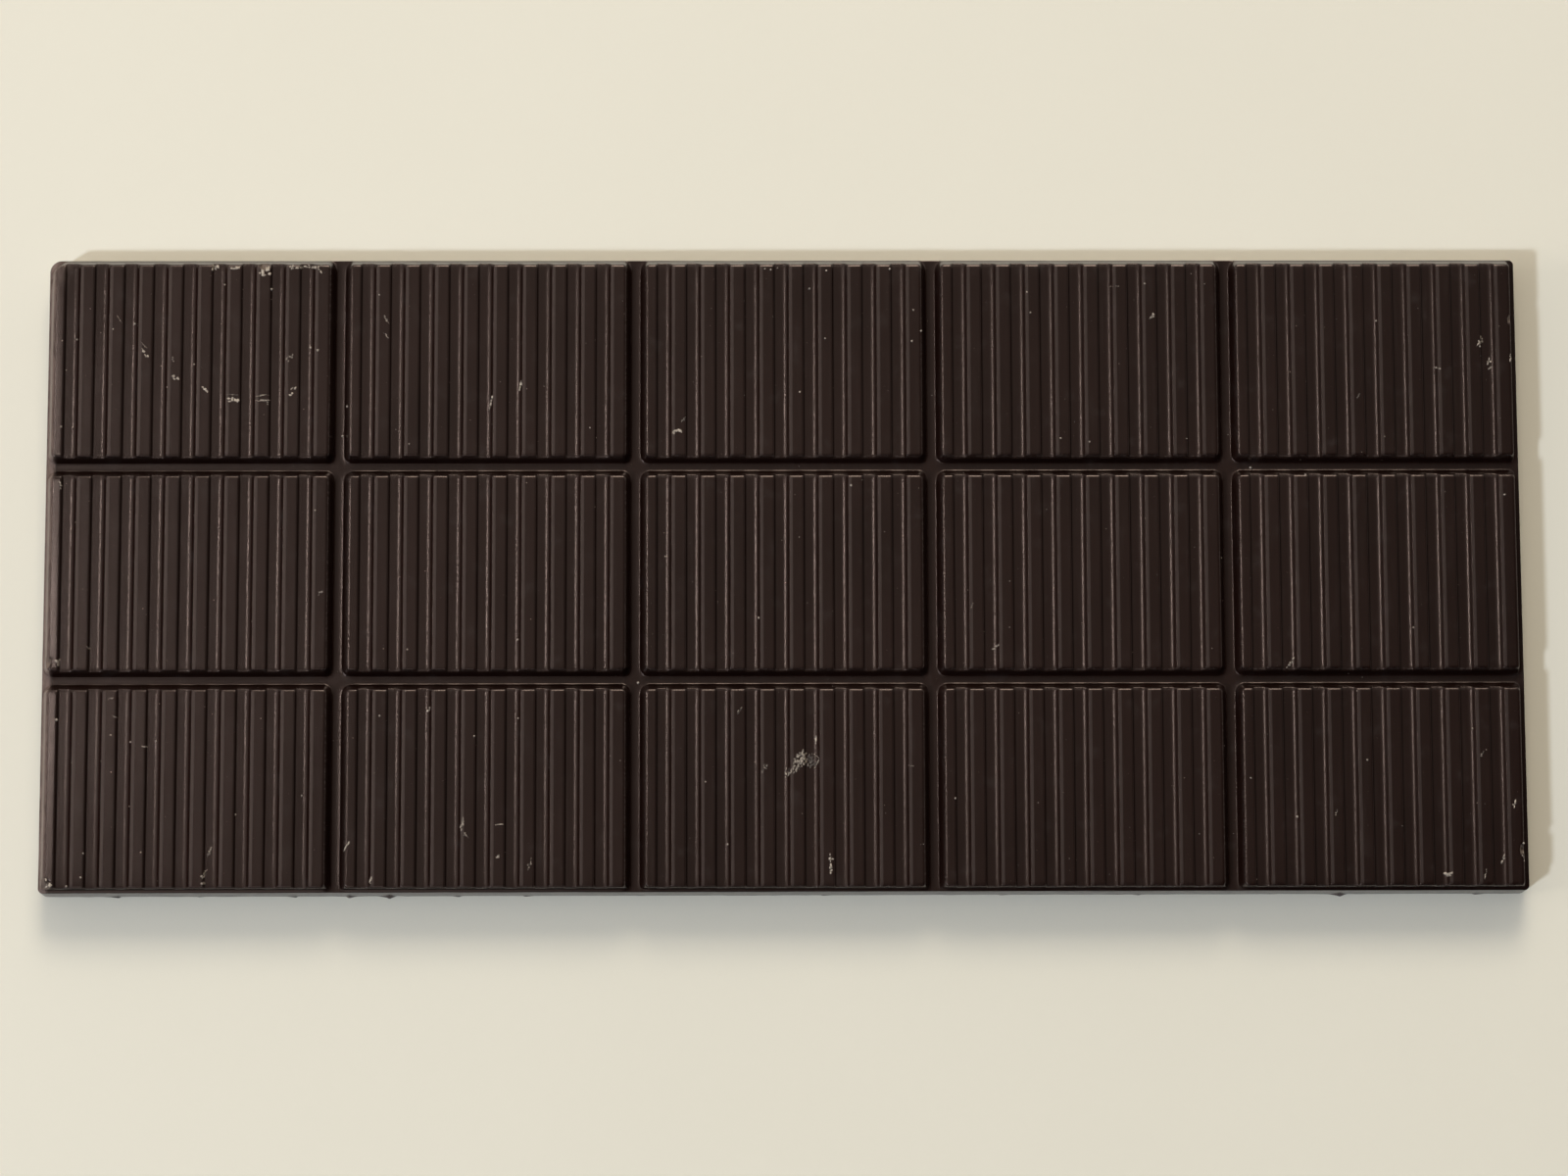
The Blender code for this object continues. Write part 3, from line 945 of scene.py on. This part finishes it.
def flakes_mesh():
    """All the flakes, each fragment lying on the surface under it."""
    random = np.random.default_rng(FLAKE_SEED)
    points = []
    faces = []
    for place in FLAKES:
        add_flake(points, faces, place, random)
    x, y, lift, lightness = np.array(points).T
    ground, _ = surface(x, y)
    height = np.minimum(ground + lift, CAD_HIGH.z)
    return np.stack([x, y, height], 1), faces, lightness[:, None]


def crumb_places(random):
    """The crumbs that show singly, then the finer ones that lie anywhere on the top."""
    places = [(x * MM, y * MM, size * MM) for x, y, size in CRUMBS]
    for count, smallest, largest in FINE_CRUMBS:
        for _ in range(count):
            x = random.uniform(-CRUMB_REACH_X, CRUMB_REACH_X) * HALF_SLAB_LENGTH
            y = random.uniform(-CRUMB_REACH_Y, CRUMB_REACH_Y) * HALF_SLAB_WIDTH
            places.append((x, y, random.uniform(smallest, largest) * MM))
    return places


OCTAHEDRON = ((1, 0, 0), (0, 1, 0), (-1, 0, 0), (0, -1, 0), (0, 0, 1), (0, 0, -1))
OCTAHEDRON_FACES = (
    (0, 1, 4), (1, 2, 4), (2, 3, 4), (3, 0, 4), (1, 0, 5), (2, 1, 5), (3, 2, 5), (0, 3, 5),
)


def crumbs_mesh():
    """Small uneven grains, each lying on the surface under it."""
    random = np.random.default_rng(CRUMB_SEED)
    places = crumb_places(random)
    centres = np.array(places)
    ground, _ = surface(centres[:, 0], centres[:, 1])
    points = []
    faces = []
    marks = []
    for number, ((x, y, size), floor) in enumerate(zip(places, ground)):
        half = size / 2
        squash = random.uniform(*CRUMB_HEIGHTS)
        turn = random.uniform(0, math.pi)
        darkest = SINGLE_LIGHTNESS if number < len(CRUMBS) else FINE_LIGHTNESS
        lightness = random.uniform(darkest, 1.0)
        height = min(floor + half * squash * CRUMB_LIFT, CAD_HIGH.z - half * squash)
        start = len(points)
        for corner in OCTAHEDRON:
            grown = half * random.uniform(*CRUMB_GROWTH)
            dx = corner[0] * math.cos(turn) - corner[1] * math.sin(turn)
            dy = corner[0] * math.sin(turn) + corner[1] * math.cos(turn)
            dz = corner[2] * half * squash
            points.append((x + dx * grown, y + dy * grown, height + dz))
            marks.append((lightness,))
        faces += [[start + index for index in face] for face in OCTAHEDRON_FACES]
    return np.array(points), faces, np.array(marks)


# ---------------------------------------------------------------- materials


def add_node(tree, kind, inputs=None, **settings):
    """One shader node, with its settings, and its inputs set to values or linked to sockets."""
    node = tree.nodes.new(kind)
    for setting, value in settings.items():
        setattr(node, setting, value)
    for socket, value in (inputs or {}).items():
        if isinstance(value, bpy.types.NodeSocket):
            tree.links.new(value, node.inputs[socket])
        else:
            node.inputs[socket].default_value = value
    return node


def new_material(name):
    material = bpy.data.materials.new(name)
    material.use_nodes = True
    tree = material.node_tree
    return material, tree, tree.nodes["Principled BSDF"]


def noise(tree, name):
    """One of the named noises, over the place on the object in millimetres."""
    factors, scale, detail, roughness = NOISES[name]
    place = add_node(tree, "ShaderNodeTexCoord").outputs["Object"]
    inputs = {"Vector": place, "Scale": tuple(factor / MM for factor in factors)}
    stretched = add_node(tree, "ShaderNodeMapping", inputs).outputs["Vector"]
    inputs = {"Vector": stretched, "Scale": scale, "Detail": detail, "Roughness": roughness}
    return add_node(tree, "ShaderNodeTexNoise", inputs).outputs["Fac"]


def ramp(tree, value, low, high, to_low=0.0, to_high=1.0):
    """The value, mapped from low to high smoothly and kept between the two results."""
    inputs = {
        "Value": value,
        "From Min": low,
        "From Max": high,
        "To Min": to_low,
        "To Max": to_high,
    }
    node = add_node(tree, "ShaderNodeMapRange", inputs, interpolation_type="SMOOTHSTEP")
    return node.outputs["Result"]


def mix(tree, factor, first, second):
    inputs = {"Fac": factor, "Color1": first, "Color2": second}
    return add_node(tree, "ShaderNodeMixRGB", inputs).outputs["Color"]


def calculate(tree, operation, first, second, clamp=False):
    inputs = {0: first, 1: second}
    return add_node(tree, "ShaderNodeMath", inputs, operation=operation, use_clamp=clamp).outputs[0]


def mark(tree, name):
    return add_node(tree, "ShaderNodeAttribute", attribute_name=name).outputs["Fac"]


def bump(tree, height, strength, depth, under=None):
    """The surface's direction, bent by a height, over another bump where one is given."""
    inputs = {"Height": height, "Strength": strength, "Distance": depth}
    if under is not None:
        inputs["Normal"] = under
    return add_node(tree, "ShaderNodeBump", inputs).outputs["Normal"]


def chocolate_material():
    """Dark, satin chocolate: mottled, streaked along the ribs, dusty on its edges and lip, with a
    painted highlight on its crests and painted light beside the wear on its left edge.
    """
    material, tree, shader = new_material("dark_chocolate")
    noises = {name: noise(tree, name) for name in ("mottle", "streak", "veil", "fine", "patches")}

    colour = mix(tree, ramp(tree, noises["mottle"], *MOTTLE_LIMITS), *PLAIN_BROWNS)
    shares = {}
    for name, noise_name, limits, layer_colour in LAYERS:
        share = ramp(tree, noises[noise_name], *limits)
        if name:
            share = calculate(tree, "MULTIPLY", mark(tree, name), share)
            shares[name] = share
        colour = mix(tree, share, colour, layer_colour)
    broken = mark(tree, "broken")
    colour = mix(tree, calculate(tree, "MULTIPLY", broken, BROKEN_SHARE), colour, BROKEN_COLOUR)
    tree.links.new(colour, shader.inputs["Base Color"])

    shares["scraped"] = calculate(tree, "MAXIMUM", shares["lip"], broken)
    terms = [ramp(tree, noises[noise_name], *limits) for noise_name, limits in NOISE_DULLNESS]
    terms += [calculate(tree, "MULTIPLY", shares[name], added) for name, added in LAYER_DULLNESS]
    dull = terms[0]
    for term in terms[1:]:
        dull = calculate(tree, "ADD", dull, term)
    tree.links.new(dull, shader.inputs["Roughness"])

    shader.inputs["Specular Tint"].default_value = SHEEN_TINT
    grain = bump(tree, noise(tree, "grain"), *GRAIN_BUMP)
    tree.links.new(bump(tree, noises["streak"], *STREAK_BUMP, under=grain), shader.inputs["Normal"])
    return material


def scraped_material(name, colours):
    """Scraped or crumbled chocolate: dull and pale, lighter in some places than in others."""
    material, tree, shader = new_material(name)
    clouds = noise(tree, "clouds")
    shift = ramp(tree, clouds, *SCRAPED_TONES)
    tone = calculate(tree, "ADD", mark(tree, "lightness"), shift, clamp=True)
    tree.links.new(mix(tree, tone, *colours), shader.inputs["Base Color"])
    tree.links.new(ramp(tree, clouds, *SCRAPED_ROUGHNESS), shader.inputs["Roughness"])
    rough = bump(tree, noise(tree, "crumble"), *CRUMBLE_BUMP)
    tree.links.new(rough, shader.inputs["Normal"])
    return material


def floor_material():
    """A pale, smooth table top with a barely uneven tone."""
    material, tree, shader = new_material("pale_floor")
    clouds = noise(tree, "floor")
    tree.links.new(mix(tree, clouds, *FLOOR_COLOURS), shader.inputs["Base Color"])
    tree.links.new(ramp(tree, clouds, *FLOOR_ROUGHNESS), shader.inputs["Roughness"])
    return material


# ---------------------------------------------------------------- pieces, floor, lamps, camera


def add_bar():
    bar = make_piece("chocolate_bar", *bar_mesh(), MARKS, chocolate_material())
    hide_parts("bar")
    return bar


def add_loose_bits():
    scraped = scraped_material("scraped_chocolate", FLAKE_COLOURS)
    crumbled = scraped_material("chocolate_crumbs", CRUMB_COLOURS)
    flakes = make_piece("scraped_flakes", *flakes_mesh(), ("lightness",), scraped)
    crumbs = make_piece("fine_crumbs", *crumbs_mesh(), ("lightness",), crumbled)
    return [flakes, crumbs]


def add_floor():
    signs = ((-1, -1), (1, -1), (1, 1), (-1, 1))
    points = np.array([(x * FLOOR_REACH, y * FLOOR_REACH, 0) for x, y in signs])
    floor = make_piece("floor", points, [[0, 1, 2, 3]], None, (), floor_material())


def add_lamp(name, place, size, power, colour, in_gloss=True, on_matt=True, spread=math.pi):
    """A rectangular soft light that faces the bar, and whether gloss and matt surfaces show it."""
    light = bpy.data.lights.new(name, "AREA")
    light.shape = "RECTANGLE"
    light.size, light.size_y = size
    light.energy = power
    light.color = colour
    light.spread = spread
    lamp = bpy.data.objects.new(name, light)
    lamp.location = place
    lamp.rotation_euler = (-Vector(place)).to_track_quat("-Z", "Y").to_euler()
    lamp.visible_diffuse = on_matt
    lamp.visible_glossy = in_gloss
    bpy.context.scene.collection.objects.link(lamp)


def add_room():
    """Soft light from all round, a little stronger from some sides than from others."""
    world = bpy.data.worlds.new("room")
    world.use_nodes = True
    tree = world.node_tree
    towards = add_node(tree, "ShaderNodeTexCoord").outputs["Generated"]
    high = add_node(tree, "ShaderNodeSeparateXYZ", {"Vector": towards}).outputs["Z"]
    low = calculate(tree, "SUBTRACT", 1.0, high, clamp=True)

    def lean(direction, share):
        inputs = {0: towards, 1: direction}
        along = add_node(tree, "ShaderNodeVectorMath", inputs, operation="DOT_PRODUCT")
        return calculate(tree, "MULTIPLY", along.outputs["Value"], share)

    near_horizon = calculate(tree, "MULTIPLY", low, low)
    glow = calculate(tree, "MULTIPLY", near_horizon, ROOM_HORIZON - ROOM_ZENITH)
    glow = calculate(tree, "ADD", glow, ROOM_ZENITH)
    sides = calculate(tree, "ADD", lean(ROOM_LOW_LEAN, low), lean(ROOM_HIGH_LEAN, high))
    whole = calculate(tree, "ADD", glow, sides)
    background = tree.nodes["Background"]
    background.inputs["Color"].default_value = ROOM_COLOUR
    tree.links.new(calculate(tree, "MAXIMUM", whole, 0.0), background.inputs["Strength"])
    bpy.context.scene.world = world


def add_camera():
    data = bpy.data.cameras.new("view")
    data.sensor_fit = "HORIZONTAL"
    data.sensor_width = SENSOR_WIDTH
    data.lens = LENS
    data.clip_start = NEAREST_SEEN
    camera = bpy.data.objects.new("view", data)
    turn = Matrix.Rotation(CAMERA_TILT, 4, "X") @ Matrix.Rotation(CAMERA_YAW, 4, "Y")
    turn = turn @ Matrix.Rotation(CAMERA_ROLL, 4, "Z")
    camera.matrix_world = Matrix.Translation(CAMERA_PLACE) @ turn
    bpy.context.scene.collection.objects.link(camera)
    bpy.context.scene.camera = camera


def build():
    for piece in [add_bar(), *add_loose_bits()]:
        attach(piece, "root")
    add_floor()
    add_room()
    for lamp in LAMPS:
        add_lamp(**lamp)
    add_camera()
    bpy.context.scene.view_settings.view_transform = "Standard"


build()
